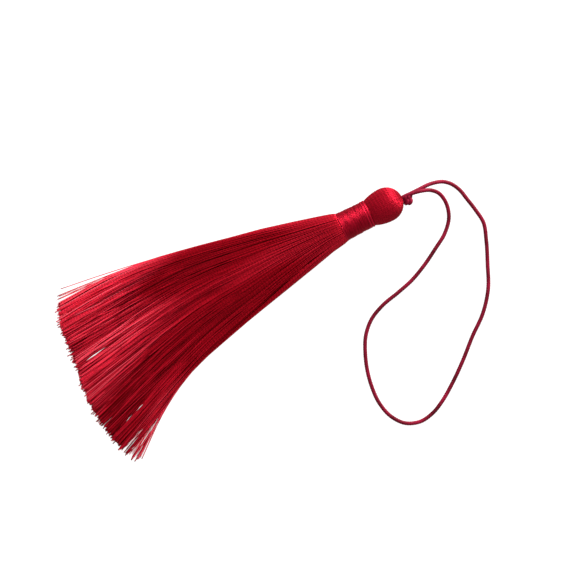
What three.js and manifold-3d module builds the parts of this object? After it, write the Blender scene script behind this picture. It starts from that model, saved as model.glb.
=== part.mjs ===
// Ice silk tassel lying on a flat surface: a ball head, a bound neck, a fanned skirt of silk
// threads, and a hanging loop of thin cord tied in a knot at the ball.
//
// Millimetres. X runs along the tassel from the thread tips towards the knot, Z is up, and the
// surface is z = 0. The origin is on the surface, straight under the widest section of the ball.

import * as THREE from 'three';
import { mergeVertices } from 'three/addons/utils/BufferGeometryUtils.js';
import Module from 'manifold-3d';

const wasm = await Module();
wasm.setup();

// Driving dimensions: the head
const BALL_DIAMETER = 12.2;
const AXIS_HEIGHT = 5.95; // a little under the ball's radius, which leaves it a small flat spot
const BALL_BACK = 6.1; // from the widest section back to the binding
const BALL_BACK_DIAMETER = 9.9;
const ROUND_SIDES = 32; // of every turned piece

// Driving dimensions: the binding round the neck
const BINDING_LENGTH = 11.2;
const BINDING_DIAMETER = 9.9;
const BINDING_BORE = 8.3;
const BINDING_START = -6.4; // its end beside the ball
const BINDING_END = BINDING_START - BINDING_LENGTH;

// Driving dimensions: the skirt
const PIECE_GAP = 0.3; // between pieces that touch on the real tassel
const ROOT_DIAMETER = 9.9; // the collar of gathered threads just under the binding
const ROOT_LENGTH = 1.1;
const ROOT_ROUNDING = 0.3; // of the collar's edges
const STRAND_PITCH = 0.6; // between strands where they leave the collar
const STRAND_LAYERS = 4; // lying on each other at the far end of the fan
const LAYER_STAGGER = 0.9; // how far each layer is shifted across, to lie over the gaps of the next
const SETTLE_RUN = 52; // length over which the round bundle settles into flat layers
const LONGEST_RUN = 106.5; // of a thread along X, in the middle of the fan
const TIP_ROUNDING = { near: 6.2, far: 5.6 }; // how much shorter the fan is at its two edges
const TIP_SCATTER = 1.6; // unevenness of the cut
const STRAND_FLATNESS = 0.7; // a strand's height for its width
const EDGE_THINNING = 0.22; // how much lower the fan is at its edges than in its middle
const STRAND_STEPS = [0.4, 9, 20, 36, 54, 68, 80, 92]; // runs at which a strand bends, before its tip

// Width of a strand along its run
const STRAND_WIDTHS = [
  { run: 0, width: 0.34 },
  { run: 25, width: 0.3 },
  { run: 60, width: 0.56 },
  { run: 110, width: 0.74 },
];

// The skirt in sections along its run from the binding: its edges across, its underside and its top
const SKIRT_SECTIONS = [
  { run: 0, near: -4.5, far: 4.7, under: 1.6, top: 10.4 },
  { run: 3.5, near: -5.5, far: 6.3, under: 1.1, top: 10.3 },
  { run: 7, near: -6.3, far: 7.6, under: 0.6, top: 9.8 },
  { run: 14, near: -8.0, far: 9.6, under: 0, top: 8.7 },
  { run: 21, near: -9.8, far: 11.6, under: 0, top: 7.6 },
  { run: 35, near: -12.8, far: 14.5, under: 0, top: 5.9 },
  { run: 52, near: -16.7, far: 18.3, under: 0, top: 4.5 },
  { run: 70, near: -21.9, far: 21.6, under: 0, top: 3.6 },
  { run: 84, near: -29.0, far: 22.2, under: 0, top: 3.3 },
  { run: 98, near: -39.0, far: 21.9, under: 0, top: 3.1 },
  { run: 110, near: -48.2, far: 21.6, under: 0, top: 3.0 },
];

// Driving dimensions: the hanging loop and its knot
const CORD_DIAMETER = 1.4;
const CORD_SIDES = 8;
const CORD_STEPS = 80;
const LYING = 0.72; // height of the cord's centre line where it lies on the surface
const KNOT_CENTRE = new THREE.Vector3(8.2, -1.7, 5.55);
const VERTICAL = new THREE.Vector3(0, 0, 1);
const KNOT_TURN = THREE.MathUtils.degToRad(-12); // about the vertical
const KNOT_LOBE = 0.46; // scale of the three lobes
const KNOT_DEPTH = 0.5; // how far the crossings stand apart along X
const KNOT_SECTION = { along: 1.2, across: 0.62 }; // two cords side by side, as one half-section
const KNOT_LAP = 0.12; // how far each lobe runs on into the next, as an angle
const LOBE_STEPS = 12;
const KNOT_STUB = 0.8; // straight cord between the knot's lump and the loop
const STUB_STEPS = 4;

// The loop's route: out of the knot, down to the surface, round the far bend and back to the knot
const LOOP_ROUTE = [
  [10.5, -0.4, 4.9],
  [13.2, -0.4, 4.6],
  [16.0, -0.4, 3.7],
  [18.9, -0.8, 2.4],
  [21.7, -1.8, 1.3],
  [23.9, -3.7, 0.85],
  [25.5, -6.6, 0.75],
  [26.5, -11.0, LYING],
  [27.4, -15.7, LYING],
  [27.9, -20.8, LYING],
  [25.9, -27.0, LYING],
  [22.5, -34.7, LYING],
  [18.9, -42.2, LYING],
  [13.4, -49.0, LYING],
  [6.3, -54.7, LYING],
  [-0.5, -60.7, LYING],
  [-7.8, -66.4, LYING],
  [-13.1, -69.9, LYING],
  [-18.1, -72.2, LYING],
  [-23.3, -72.9, LYING],
  [-28.3, -71.0, LYING],
  [-31.6, -66.8, LYING],
  [-33.2, -60.8, LYING],
  [-32.9, -53.9, LYING],
  [-31.6, -48.0, LYING],
  [-29.6, -42.7, LYING],
  [-26.8, -37.6, LYING],
  [-22.5, -33.4, LYING],
  [-16.6, -30.7, LYING],
  [-9.9, -29.2, LYING],
  [-3.5, -27.5, LYING],
  [2.9, -24.7, LYING],
  [8.8, -21.4, LYING],
  [14.3, -18.0, LYING],
  [18.0, -13.7, 0.78],
  [19.3, -9.0, 1.1],
  [18.6, -5.0, 2.3],
  [16.0, -2.4, 4.6],
  [13.1, -1.3, 6.1],
  [10.5, -0.7, 6.5],
];

// A colour and finish for each piece
const silk = new THREE.MeshStandardMaterial({ color: 0xb40e22, roughness: 0.42, metalness: 0 });
const headSilk = new THREE.MeshStandardMaterial({ color: 0xc81436, roughness: 0.38, metalness: 0 });
const bindingThread = new THREE.MeshStandardMaterial({ color: 0xc21030, roughness: 0.36, metalness: 0 });
const cordThread = new THREE.MeshStandardMaterial({ color: 0x8a1a36, roughness: 0.6, metalness: 0 });

// A closed geometry as a solid that can be joined and cut
function toSolid(geometry) {
  const bare = geometry.clone();
  bare.deleteAttribute('normal');
  bare.deleteAttribute('uv');
  const merged = mergeVertices(bare, 1e-4);
  const corners = merged.index.array;
  const triangles = [];
  for (let i = 0; i < corners.length; i += 3) {
    const [a, b, c] = corners.slice(i, i + 3);
    if (a !== b && b !== c && c !== a) {
      triangles.push(a, b, c);
    }
  }
  return new wasm.Manifold(new wasm.Mesh({
    numProp: 3,
    vertProperties: new Float32Array(merged.attributes.position.array),
    triVerts: new Uint32Array(triangles),
  }));
}

// A solid back as a geometry
function toGeometry(solid) {
  const mesh = solid.getMesh();
  const geometry = new THREE.BufferGeometry();
  geometry.setAttribute('position', new THREE.BufferAttribute(mesh.vertProperties, 3));
  geometry.setIndex(new THREE.BufferAttribute(mesh.triVerts, 1));
  geometry.computeVertexNormals();
  return geometry;
}

// A shape turned about the tassel's axis, from profile points of place along X and radius
function turned(profile, segments) {
  const points = profile.map((p) => new THREE.Vector2(p.radius, p.x));
  const geometry = new THREE.LatheGeometry(points, segments);
  geometry.rotateZ(-Math.PI / 2);
  geometry.translate(0, 0, AXIS_HEIGHT);
  return geometry;
}

// A repeatable number from 0 to 1 for each whole number, with neighbours far apart
function scatter(index) {
  const goldenShare = (Math.sqrt(5) - 1) / 2;
  return (index * goldenShare) % 1;
}

function makeBall() {
  const radius = BALL_DIAMETER / 2;
  const backRadius = BALL_BACK_DIAMETER / 2;
  const profile = [{ x: -BALL_BACK, radius: 0 }];
  const backSteps = 6;
  for (let i = 0; i < backSteps; i += 1) {
    const x = -BALL_BACK * (1 - i / backSteps);
    profile.push({ x, radius: radius - (radius - backRadius) * (x / BALL_BACK) ** 2 });
  }
  const frontSteps = 9;
  for (let i = 0; i <= frontSteps; i += 1) {
    const angle = (i / frontSteps) * (Math.PI / 2);
    profile.push({ x: radius * Math.sin(angle), radius: i === frontSteps ? 0 : radius * Math.cos(angle) });
  }
  const ball = toSolid(turned(profile, ROUND_SIDES));
  const side = 2 * BALL_DIAMETER; // of a block over the surface that holds the whole ball
  const above = new THREE.BoxGeometry(side, side, side);
  above.translate(0, 0, side / 2);
  return toGeometry(ball.intersect(toSolid(above)));
}

// The binding: closely wound turns with a raised edge below and a step near the middle
function makeBinding() {
  const outer = BINDING_DIAMETER / 2;
  const rows = [
    { along: 0, proud: -0.12 },
    { along: 0.03, proud: 0.05 },
    { along: 0.07, proud: 0.05 },
    { along: 0.1, proud: -0.08 },
    { along: 0.4, proud: -0.08 },
    { along: 0.43, proud: -0.2 },
    { along: 0.46, proud: -0.05 },
    { along: 0.75, proud: 0.0 },
    { along: 0.93, proud: 0.14 },
    { along: 0.97, proud: 0.32 },
    { along: 1, proud: 0.2 },
  ];
  const bore = BINDING_BORE / 2;
  const profile = rows.map((row) => ({
    x: BINDING_START - row.along * BINDING_LENGTH,
    radius: outer + row.proud,
  })).reverse();
  profile.unshift({ x: BINDING_END, radius: bore });
  profile.push({ x: BINDING_START, radius: bore });
  profile.push({ x: BINDING_END, radius: bore });
  return turned(profile, ROUND_SIDES);
}

// Reads a table of rows at any run, with a smooth curve through each column
function smoothTable(rows, columns) {
  const curve = new THREE.CubicInterpolant(
    rows.map((row) => row.run),
    rows.flatMap((row) => columns.map((column) => row[column])),
    columns.length,
  );
  return (run) => {
    const values = curve.evaluate(run);
    return Object.fromEntries(columns.map((column, i) => [column, values[i]]));
  };
}

const skirtAt = smoothTable(SKIRT_SECTIONS, ['near', 'far', 'under', 'top']);
const strandAt = smoothTable(STRAND_WIDTHS, ['width']);

// Where each strand starts in the round bundle and where it lies in the fan, both from -1 to 1 across
function strandPlaces() {
  const radius = ROOT_DIAMETER / 2 - STRAND_PITCH / 2;
  const columns = Math.floor((2 * radius) / STRAND_PITCH);
  const places = [];
  for (let column = 0; column < columns; column += 1) {
    const across = ((column + 0.5) / columns) * 2 - 1;
    const chord = Math.sqrt(1 - across * across);
    const count = Math.max(STRAND_LAYERS, Math.round((2 * radius * chord) / STRAND_PITCH));
    for (let i = 0; i < count; i += 1) {
      const layer = Math.floor((i * STRAND_LAYERS) / count);
      const first = Math.ceil((layer * count) / STRAND_LAYERS);
      const next = Math.ceil(((layer + 1) * count) / STRAND_LAYERS);
      const stagger = (layer + 0.5) / STRAND_LAYERS - 0.5;
      const inSlice = (i - first + 0.5 + LAYER_STAGGER * stagger) / (next - first);
      places.push({
        rootAcross: across,
        rootHeight: 0.5 + ((i + 0.5) / count - 0.5) * chord,
        fanAcross: ((column + inSlice) / columns) * 2 - 1,
        layer: layer / (STRAND_LAYERS - 1),
      });
    }
  }
  return places;
}

// One strand: a three-sided prism bent along its run, flat side down, from the collar to its tip
function makeStrand(place, index) {
  const side = place.fanAcross > 0 ? TIP_ROUNDING.far : TIP_ROUNDING.near;
  const tip = LONGEST_RUN - side * place.fanAcross ** 2 - TIP_SCATTER * scatter(index);
  const runs = [...STRAND_STEPS, tip];
  const geometry = new THREE.CylinderGeometry(1, 1, 1, 3, runs.length - 1);
  const corners = geometry.attributes.position;
  for (let i = 0; i < corners.count; i += 1) {
    const isRidge = corners.getZ(i) > 0; // one of the prism's three corners is on top
    const step = Math.round((0.5 - corners.getY(i)) * (runs.length - 1));
    const run = runs[step];
    const section = skirtAt(run);
    const width = strandAt(run).width;
    const settled = THREE.MathUtils.smoothstep(run, 0, SETTLE_RUN);
    const across = THREE.MathUtils.lerp(place.rootAcross, place.fanAcross, settled);
    const thin = 1 - EDGE_THINNING * place.fanAcross ** 2;
    const lift = THREE.MathUtils.lerp(place.rootHeight, place.layer * thin, settled);
    const height = STRAND_FLATNESS * width;
    const under = Math.max(0, section.under);
    const y = THREE.MathUtils.lerp(section.near, section.far, (across + 1) / 2);
    const z = under + lift * (section.top - under - height);
    corners.setXYZ(
      i,
      BINDING_END - run,
      y - corners.getX(i) * (width / Math.sqrt(3)),
      z + (isRidge ? height : 0),
    );
  }
  return geometry;
}

// The skirt: the gathered neck that the binding grips, its collar, and the strands that leave it
function makeSkirt() {
  const neck = BINDING_BORE / 2 - PIECE_GAP;
  const collar = ROOT_DIAMETER / 2;
  const collarStart = BINDING_END - PIECE_GAP;
  const collarEnd = collarStart - ROOT_LENGTH;
  const bundle = toSolid(turned([
    { x: collarEnd, radius: 0 },
    { x: collarEnd, radius: collar - ROOT_ROUNDING / 2 },
    { x: collarStart - ROOT_LENGTH / 2, radius: collar },
    { x: collarStart, radius: collar - ROOT_ROUNDING },
    { x: collarStart, radius: neck },
    { x: BINDING_START, radius: neck },
    { x: BINDING_START, radius: 0 },
  ], ROUND_SIDES));
  const strands = strandPlaces().map((place, index) => toSolid(makeStrand(place, index)));
  return toGeometry(wasm.Manifold.union([bundle, ...strands]));
}

// The overhand knot's centre line: a three-lobed knot that lies against the ball's end
class KnotLine extends THREE.Curve {
  constructor(start, end) {
    super();
    this.start = start;
    this.end = end;
  }

  getPoint(t) {
    const angle = THREE.MathUtils.lerp(this.start, this.end, t);
    return new THREE.Vector3(
      KNOT_DEPTH * Math.sin(3 * angle),
      KNOT_LOBE * (Math.sin(angle) + 2 * Math.sin(2 * angle)),
      KNOT_LOBE * (Math.cos(angle) - 2 * Math.cos(2 * angle)),
    ).applyAxisAngle(VERTICAL, KNOT_TURN).add(KNOT_CENTRE);
  }
}

// A solid run of an elliptical section along a curve
function tube(curve, halfAlong, halfAcross, steps) {
  const section = new THREE.Shape();
  for (let i = 0; i < CORD_SIDES; i += 1) {
    const angle = ((i + 0.5) / CORD_SIDES) * 2 * Math.PI;
    const point = [halfAlong * Math.cos(angle), halfAcross * Math.sin(angle)];
    if (i === 0) {
      section.moveTo(...point);
    } else {
      section.lineTo(...point);
    }
  }
  section.closePath();
  return new THREE.ExtrudeGeometry(section, { steps, bevelEnabled: false, extrudePath: curve });
}

// The short length of cord between the knot and one end of the loop, square to the loop's end
function makeStub(end, next) {
  const last = new THREE.Vector3(...end);
  const outward = new THREE.Vector3(...next).sub(last).normalize();
  last.addScaledVector(outward, -PIECE_GAP);
  const turn = last.clone().addScaledVector(outward, -KNOT_STUB);
  const line = new THREE.QuadraticBezierCurve3(KNOT_CENTRE.clone(), turn, last);
  return toSolid(tube(line, CORD_DIAMETER / 2, CORD_DIAMETER / 2, STUB_STEPS));
}

function makeKnot() {
  const arcs = [];
  for (let i = 0; i < 3; i += 1) {
    const start = (i * 2 * Math.PI) / 3 - KNOT_LAP;
    const line = new KnotLine(start, start + (2 * Math.PI) / 3 + 2 * KNOT_LAP);
    arcs.push(toSolid(tube(line, KNOT_SECTION.along, KNOT_SECTION.across, LOBE_STEPS)));
  }
  const middle = new THREE.IcosahedronGeometry(KNOT_SECTION.along, 1);
  middle.translate(...KNOT_CENTRE.toArray());
  const stubs = [
    makeStub(LOOP_ROUTE[0], LOOP_ROUTE[1]),
    makeStub(LOOP_ROUTE.at(-1), LOOP_ROUTE.at(-2)),
  ];
  return toGeometry(wasm.Manifold.union([...arcs, toSolid(middle), ...stubs]));
}

function makeLoop() {
  const route = LOOP_ROUTE.map((point) => new THREE.Vector3(...point));
  const line = new THREE.CatmullRomCurve3(route, false, 'centripetal');
  return tube(line, CORD_DIAMETER / 2, CORD_DIAMETER / 2, CORD_STEPS);
}

function piece(name, geometry, material) {
  const mesh = new THREE.Mesh(geometry, material);
  mesh.name = name;
  return mesh;
}

const head = new THREE.Group();
head.add(piece('head_ball', makeBall(), headSilk));
head.add(piece('neck_binding', makeBinding(), bindingThread));

const hanging = new THREE.Group();
hanging.add(piece('loop_knot', makeKnot(), cordThread));
hanging.add(piece('loop_cord', makeLoop(), cordThread));

const tassel = new THREE.Group();
tassel.add(head);
tassel.add(piece('skirt', makeSkirt(), silk));
tassel.add(hanging);

export default tassel;
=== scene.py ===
# %% [markdown]
# # An ice silk tassel
#
# The real tassel is a hank of twisted silk threads. They are folded over a bead, which makes the
# round head, and a silk thread is wound round them below it, which makes the neck. Under the neck
# the threads are free and lie fanned on the table. A loop of thin braided cord is knotted at the
# bead's far end.
#
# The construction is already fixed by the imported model, so this script starts by loading it. The
# threads, turns and braid are then laid in the places of its plain solids. All sizes are metres.
# X runs along the tassel towards the knot and Z is up.

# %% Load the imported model
import math

import bmesh
import bpy
import numpy as np
from mathutils import Matrix, Vector


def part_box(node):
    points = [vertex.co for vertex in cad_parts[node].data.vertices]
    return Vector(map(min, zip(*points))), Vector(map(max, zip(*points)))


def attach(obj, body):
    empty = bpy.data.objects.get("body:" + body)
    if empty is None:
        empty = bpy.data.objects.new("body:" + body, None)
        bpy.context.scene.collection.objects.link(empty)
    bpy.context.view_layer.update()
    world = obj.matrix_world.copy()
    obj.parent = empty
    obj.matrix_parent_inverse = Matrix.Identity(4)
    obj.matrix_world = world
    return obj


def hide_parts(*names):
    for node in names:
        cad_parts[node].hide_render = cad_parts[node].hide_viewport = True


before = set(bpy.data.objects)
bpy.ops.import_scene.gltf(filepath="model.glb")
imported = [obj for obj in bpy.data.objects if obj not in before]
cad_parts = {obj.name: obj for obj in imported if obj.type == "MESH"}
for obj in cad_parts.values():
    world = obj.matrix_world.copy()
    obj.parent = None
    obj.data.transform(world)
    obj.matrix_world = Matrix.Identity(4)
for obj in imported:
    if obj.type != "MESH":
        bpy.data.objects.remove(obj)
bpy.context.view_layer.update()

ball_low, ball_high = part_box("head_ball")
binding_low, binding_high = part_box("neck_binding")

BALL_RADIUS = (ball_high.y - ball_low.y) / 2
AXIS_HEIGHT = ball_high.z - BALL_RADIUS
BINDING_START = binding_high.x
BINDING_END = binding_low.x
print("ball radius", round(BALL_RADIUS, 5), "axis height", round(AXIS_HEIGHT, 5))

# %% [markdown]
# ## The camera
#
# The picture was taken from straight above with a long lens. A camera at the end of a long lens
# keeps the round head round, so the lens is chosen first. The distance follows from how much of
# the table the picture shows. The tassel points up to the right, so the camera is turned about
# the vertical by the same angle.

# %% Place the camera
VIEW_WIDTH = 0.2016
VIEW_CENTRE = Vector((-0.0434, -0.0103, 0))
TASSEL_TILT = math.radians(27)
LENS = 120
SENSOR = 36

camera_data = bpy.data.cameras.new("camera")
camera_data.lens = LENS
camera_data.sensor_width = SENSOR
camera_data.clip_start = 0.01
camera_data.clip_end = 20
camera = bpy.data.objects.new("camera", camera_data)
camera.location = VIEW_CENTRE + Vector((0, 0, VIEW_WIDTH * LENS / SENSOR))
camera.rotation_euler = (0, 0, -TASSEL_TILT)
bpy.context.scene.collection.objects.link(camera)
bpy.context.scene.camera = camera
print("camera height", round(camera.location.z, 3))

# %% [markdown]
# ## Tubes from one template
#
# Threads and cords are all long thin tubes. Blender could bevel a curve for each one, but then a
# thread could not carry its own colour or the way round its twist. So one closed tube is made with
# a cone operator and cut into rings. Its points are then moved to lie round a line, once for each
# thread, and all copies are joined in one mesh.
#
# Each point keeps some facts for the materials: where it is round and along its thread, how far it
# is from the cut end, and a number that tells the threads apart. The skirt adds one more, a painted
# light and shade: how much its base colour is made lighter or darker in each place.

# %% A template tube, and a way to lay it along many lines
def tube_template(sides, rings):
    """A closed tube of radius 1 from z = 0 to z = 1: its points and its faces."""
    bm = bmesh.new()
    bmesh.ops.create_cone(
        bm, cap_ends=True, segments=sides, radius1=1, radius2=1, depth=1,
        matrix=Matrix.Translation((0, 0, 0.5)),
    )
    long_edges = [e for e in bm.edges if abs(e.verts[0].co.z - e.verts[1].co.z) > 0.5]
    bmesh.ops.subdivide_edges(bm, edges=long_edges, cuts=rings - 2, use_grid_fill=True)
    points = np.array([v.co for v in bm.verts])
    bm.verts.index_update()
    faces = [[v.index for v in face.verts] for face in bm.faces]
    bm.free()
    return points, faces


def unit(vectors):
    return vectors / np.linalg.norm(vectors, axis=-1, keepdims=True)


def lay_tubes(name, lines, hint, radius, sides, relief=None, **facts):
    """One mesh of tubes round many lines with as many points each. hint is roughly square to them."""
    lines = np.asarray(lines, float)
    count, rings, _ = lines.shape
    points, faces = tube_template(sides, rings)
    ring = np.rint(points[:, 2] * (rings - 1)).astype(int)
    angle = np.arctan2(points[:, 1], points[:, 0])
    ahead = unit(np.gradient(lines, axis=1))
    side = unit(np.cross(ahead, hint))
    up = np.cross(ahead, side)
    step = np.linalg.norm(np.diff(lines, axis=1), axis=2)
    along = np.concatenate([np.zeros((count, 1)), np.cumsum(step, axis=1)], axis=1)
    thick = np.broadcast_to(radius, (count, rings))[:, ring]
    if relief is not None:
        thick = thick * relief(angle, along[:, ring])
    across = np.cos(angle)[:, None] * side[:, ring] + np.sin(angle)[:, None] * up[:, ring]
    places = lines[:, ring] + thick[..., None] * across
    shifted = [[i + n * len(points) for i in face] for n in range(count) for face in faces]
    mesh = bpy.data.meshes.new(name)
    mesh.from_pydata(places.reshape(-1, 3), [], shifted)
    mesh.polygons.foreach_set("use_smooth", np.ones(len(mesh.polygons), bool))
    spin = np.stack([np.broadcast_to(np.cos(angle), thick.shape),
                     np.broadcast_to(np.sin(angle), thick.shape), along[:, ring]], axis=-1)
    mesh.attributes.new("round", "FLOAT_VECTOR", "POINT").data.foreach_set("vector", spin.ravel())
    facts = {"to_tip": along[:, -1:] - along, "thread": np.zeros((count, 1)), **facts}
    for fact, values in facts.items():
        told = np.broadcast_to(values, (count, rings))[:, ring]
        mesh.attributes.new(fact, "FLOAT", "POINT").data.foreach_set("value", told.ravel())
    piece = bpy.data.objects.new(name, mesh)
    bpy.context.scene.collection.objects.link(piece)
    triangles = sum(len(face.vertices) - 2 for face in mesh.polygons)
    print(name, "tubes", count, "triangles", triangles)
    return piece


# %% [markdown]
# ## The hanging loop
#
# The loop is one length of thin round braid, and both its ends go into the knot. Its route is a list
# of points: out of the knot, down to the table, round the far bend and back. A smooth
# curve goes through them, and the tube follows it. A curve object with a bevel could do that too,
# but the tubes made above also carry the braid.
#
# Braid has eight strands, four wound each way, that pass over and under each other. The tube's
# radius rises and falls where they do, so the braid shows in the shape itself.

# %% Route of the loop, and a smooth line through it
CORD_DIAMETER = 0.0014
LYING = 0.00072
LOOP_ROUTE = [
    (0.0105, -0.0004, 0.0049),
    (0.0132, -0.0004, 0.0046),
    (0.0160, -0.0004, 0.0037),
    (0.0189, -0.0008, 0.0024),
    (0.0217, -0.0018, 0.0013),
    (0.0239, -0.0037, 0.00085),
    (0.0255, -0.0066, 0.00075),
    (0.0265, -0.0110, LYING),
    (0.0274, -0.0157, LYING),
    (0.0279, -0.0208, LYING),
    (0.0259, -0.0270, LYING),
    (0.0225, -0.0347, LYING),
    (0.0189, -0.0422, LYING),
    (0.0134, -0.0490, LYING),
    (0.0063, -0.0547, LYING),
    (-0.0005, -0.0607, LYING),
    (-0.0078, -0.0664, LYING),
    (-0.0131, -0.0699, LYING),
    (-0.0181, -0.0722, LYING),
    (-0.0233, -0.0729, LYING),
    (-0.0283, -0.0710, LYING),
    (-0.0316, -0.0668, LYING),
    (-0.0332, -0.0608, LYING),
    (-0.0329, -0.0539, LYING),
    (-0.0316, -0.0480, LYING),
    (-0.0296, -0.0427, LYING),
    (-0.0268, -0.0376, LYING),
    (-0.0225, -0.0334, LYING),
    (-0.0166, -0.0307, LYING),
    (-0.0099, -0.0292, LYING),
    (-0.0035, -0.0275, LYING),
    (0.0029, -0.0247, LYING),
    (0.0088, -0.0214, LYING),
    (0.0143, -0.0180, LYING),
    (0.0180, -0.0137, 0.00078),
    (0.0193, -0.0090, 0.0011),
    (0.0186, -0.0050, 0.0023),
    (0.0160, -0.0024, 0.0046),
    (0.0131, -0.0013, 0.0061),
    (0.0105, -0.0007, 0.0065),
]


def curve_between(t, step, start, start_slope, end, end_slope):
    """A smooth curve from one value and slope to another, a step further, for t from 0 to 1."""
    leaving = (1 + 2 * t) * (1 - t) ** 2 * start + t * (1 - t) ** 2 * step * start_slope
    arriving = t * t * (3 - 2 * t) * end - t * t * (1 - t) * step * end_slope
    return leaving + arriving


def smooth(place, places, values):
    """Reads values, known at places, along a smooth curve through them."""
    slopes = np.gradient(values, places, axis=0)
    i = np.clip(np.searchsorted(places, place) - 1, 0, len(places) - 2)
    step = places[i + 1] - places[i]
    t = (place - places[i]) / step
    if values.ndim > 1:
        step, t = step[:, None], t[:, None]
    return curve_between(t, step, values[i], slopes[i], values[i + 1], slopes[i + 1])


def smooth_line(route, spacing):
    """Points at an even spacing along a smooth line through a route."""
    route = np.array(route)
    length = np.r_[0, np.cumsum(np.linalg.norm(np.diff(route, axis=0), axis=1))]
    line = smooth(np.linspace(0, length[-1], 4000), length, route)
    run = np.r_[0, np.cumsum(np.linalg.norm(np.diff(line, axis=0), axis=1))]
    even = np.linspace(0, run[-1], round(run[-1] / spacing) + 1)
    return np.stack([np.interp(even, run, line[:, axis]) for axis in range(3)], axis=1)


# %% Braid the cord along it
UP = np.array((0.0, 0.0, 1.0))
STRANDS_EACH_WAY = 4
BRAID_PITCH = 0.0034
BRAID_DEPTH = 0.16
BRAID_MEAN = 0.8
WIDEST_BRAID = 0.52 * CORD_DIAMETER
LOOP_SPACING = 0.0002


def braid(angle, along):
    """How far the braid stands out: strands wound both ways, whichever is on top."""
    turn = 2 * np.pi * along / BRAID_PITCH
    one_way = np.abs(np.cos(STRANDS_EACH_WAY * (angle + turn) / 2))
    other_way = np.abs(np.cos(STRANDS_EACH_WAY * (angle - turn) / 2))
    return 1 + BRAID_DEPTH * (np.maximum(one_way, other_way) - BRAID_MEAN)


loop_line = smooth_line(LOOP_ROUTE, LOOP_SPACING)
loop_line[:, 2] = np.maximum(loop_line[:, 2], WIDEST_BRAID)
loop_length = np.linalg.norm(np.diff(loop_line, axis=0), axis=1).sum()
loop = lay_tubes("loop_braid", [loop_line], UP, CORD_DIAMETER / 2, 16, relief=braid)
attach(loop, "root")
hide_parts("loop_cord")
print("loop length", round(loop_length, 4))

# %% [markdown]
# ## The knot
#
# The two ends of the loop are tied together in an overhand knot, pulled tight against the bead. An
# overhand knot's line has three lobes that pass over and under each other, and a short formula gives
# it. Two cords lie side by side all along it. It could be drawn point by point, but the formula can
# be turned and scaled until it fits.
#
# Two short lengths come out at the bead's pole, pass along the knot's far side and go over into the
# loop. Two more go from the knot down into the bead.

# %% Tie the knot
KNOT_CENTRE = np.array((0.0077, -0.0018, 0.00555))
KNOT_TURN = math.radians(-25)
KNOT_LOBE = 0.00053
KNOT_DEPTH = 0.0004
KNOT_CORD = 0.00066
KNOT_BESIDE = 0.00056

turn = np.linspace(0, 2 * np.pi, 141)
lobes = np.stack([
    KNOT_DEPTH * np.sin(3 * turn),
    KNOT_LOBE * (np.sin(turn) + 2 * np.sin(2 * turn)),
    KNOT_LOBE * (np.cos(turn) - 2 * np.cos(2 * turn)),
], axis=1)
knot_axis = np.array((math.cos(KNOT_TURN), math.sin(KNOT_TURN), 0))
knot_across = np.array((-math.sin(KNOT_TURN), math.cos(KNOT_TURN), 0))
lobes = KNOT_CENTRE + lobes @ np.stack([knot_axis, knot_across, UP])
beside = KNOT_BESIDE * knot_axis
knot = lay_tubes("knot_lobes", [lobes - beside, lobes + beside], knot_axis, KNOT_CORD, 16, relief=braid)

# %% Lead the cords past it, and into the bead
POLE = np.array((ball_high.x - 0.0012, -0.0007, AXIS_HEIGHT))
PAST_THE_KNOT = np.array((0.0005, 0.0003, 0))
PARTED = 0.4
STRAIGHT_LEAD = 0.0024
INTO_THE_BEAD = np.array((0.0014, 0, 0))
LEANING_UP = UP + 0.3


def lead(start, control, end, rings=24):
    """A short smooth line from start to end that leaves end away from control."""
    t = np.linspace(0, 1, rings)[:, None]
    return (1 - t) ** 2 * start + 2 * t * (1 - t) * control + t * t * end


leads = []
for end, after in ((loop_line[0], loop_line[1]), (loop_line[-1], loop_line[-2])):
    outward = unit(after - end)
    out_of_pole = POLE + PAST_THE_KNOT + PARTED * (end[2] - AXIS_HEIGHT) * UP
    leads.append(lead(out_of_pole, end - STRAIGHT_LEAD * outward, end))
for sideways in (-1, 1):
    aside = np.array((0, sideways * KNOT_BESIDE, 0))
    leads.append(lead(KNOT_CENTRE + aside, POLE + aside + INTO_THE_BEAD, POLE + aside))
knot_leads = lay_tubes("knot_leads", leads, LEANING_UP, CORD_DIAMETER / 2, 16, relief=braid)
for piece in (knot, knot_leads):
    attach(piece, "root")
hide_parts("loop_knot")

# %% [markdown]
# ## The round head
#
# Under the threads the head is a bead, and the threads run over it from the binding to the far pole,
# side by side. The bead is a profile turned with the spin operator. A sphere would be quicker, but
# the head narrows to the neck on one side only. The threads are tubes along the same profile, and
# they get thinner towards the pole, where they crowd into the hole. The head rests on a small flat
# spot, so no thread lies lower than its own thickness.

# %% The head's outline, and a way to turn an outline
AXIS = Vector((0, 0, AXIS_HEIGHT))
SHOULDER_X = -0.0061
SHOULDER_RADIUS = 0.00495
TUCK_X = -0.0074
TUCK_RADIUS = 0.0044


def head_outline(points):
    """Places along X and radii, evenly spaced from the far pole to the tuck under the binding."""
    sweep = np.linspace(np.pi / 2, 0, 60)
    back_x = np.linspace(0, SHOULDER_X, 40)[1:]
    back = BALL_RADIUS - (BALL_RADIUS - SHOULDER_RADIUS) * (back_x / SHOULDER_X) ** 2
    tuck = np.array([
        # place along X, and radius
        (SHOULDER_X - 0.0004, 0.00468),
        (TUCK_X + 0.0006, TUCK_RADIUS),
        (TUCK_X, TUCK_RADIUS),
    ])
    x = np.r_[BALL_RADIUS * np.sin(sweep), back_x, tuck[:, 0]]
    radius = np.r_[BALL_RADIUS * np.cos(sweep), back, tuck[:, 1]]
    run = np.r_[0, np.cumsum(np.hypot(np.diff(x), np.diff(radius)))]
    even = np.linspace(0, run[-1], points)
    return np.interp(even, run, x), np.interp(even, run, radius)


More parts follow.
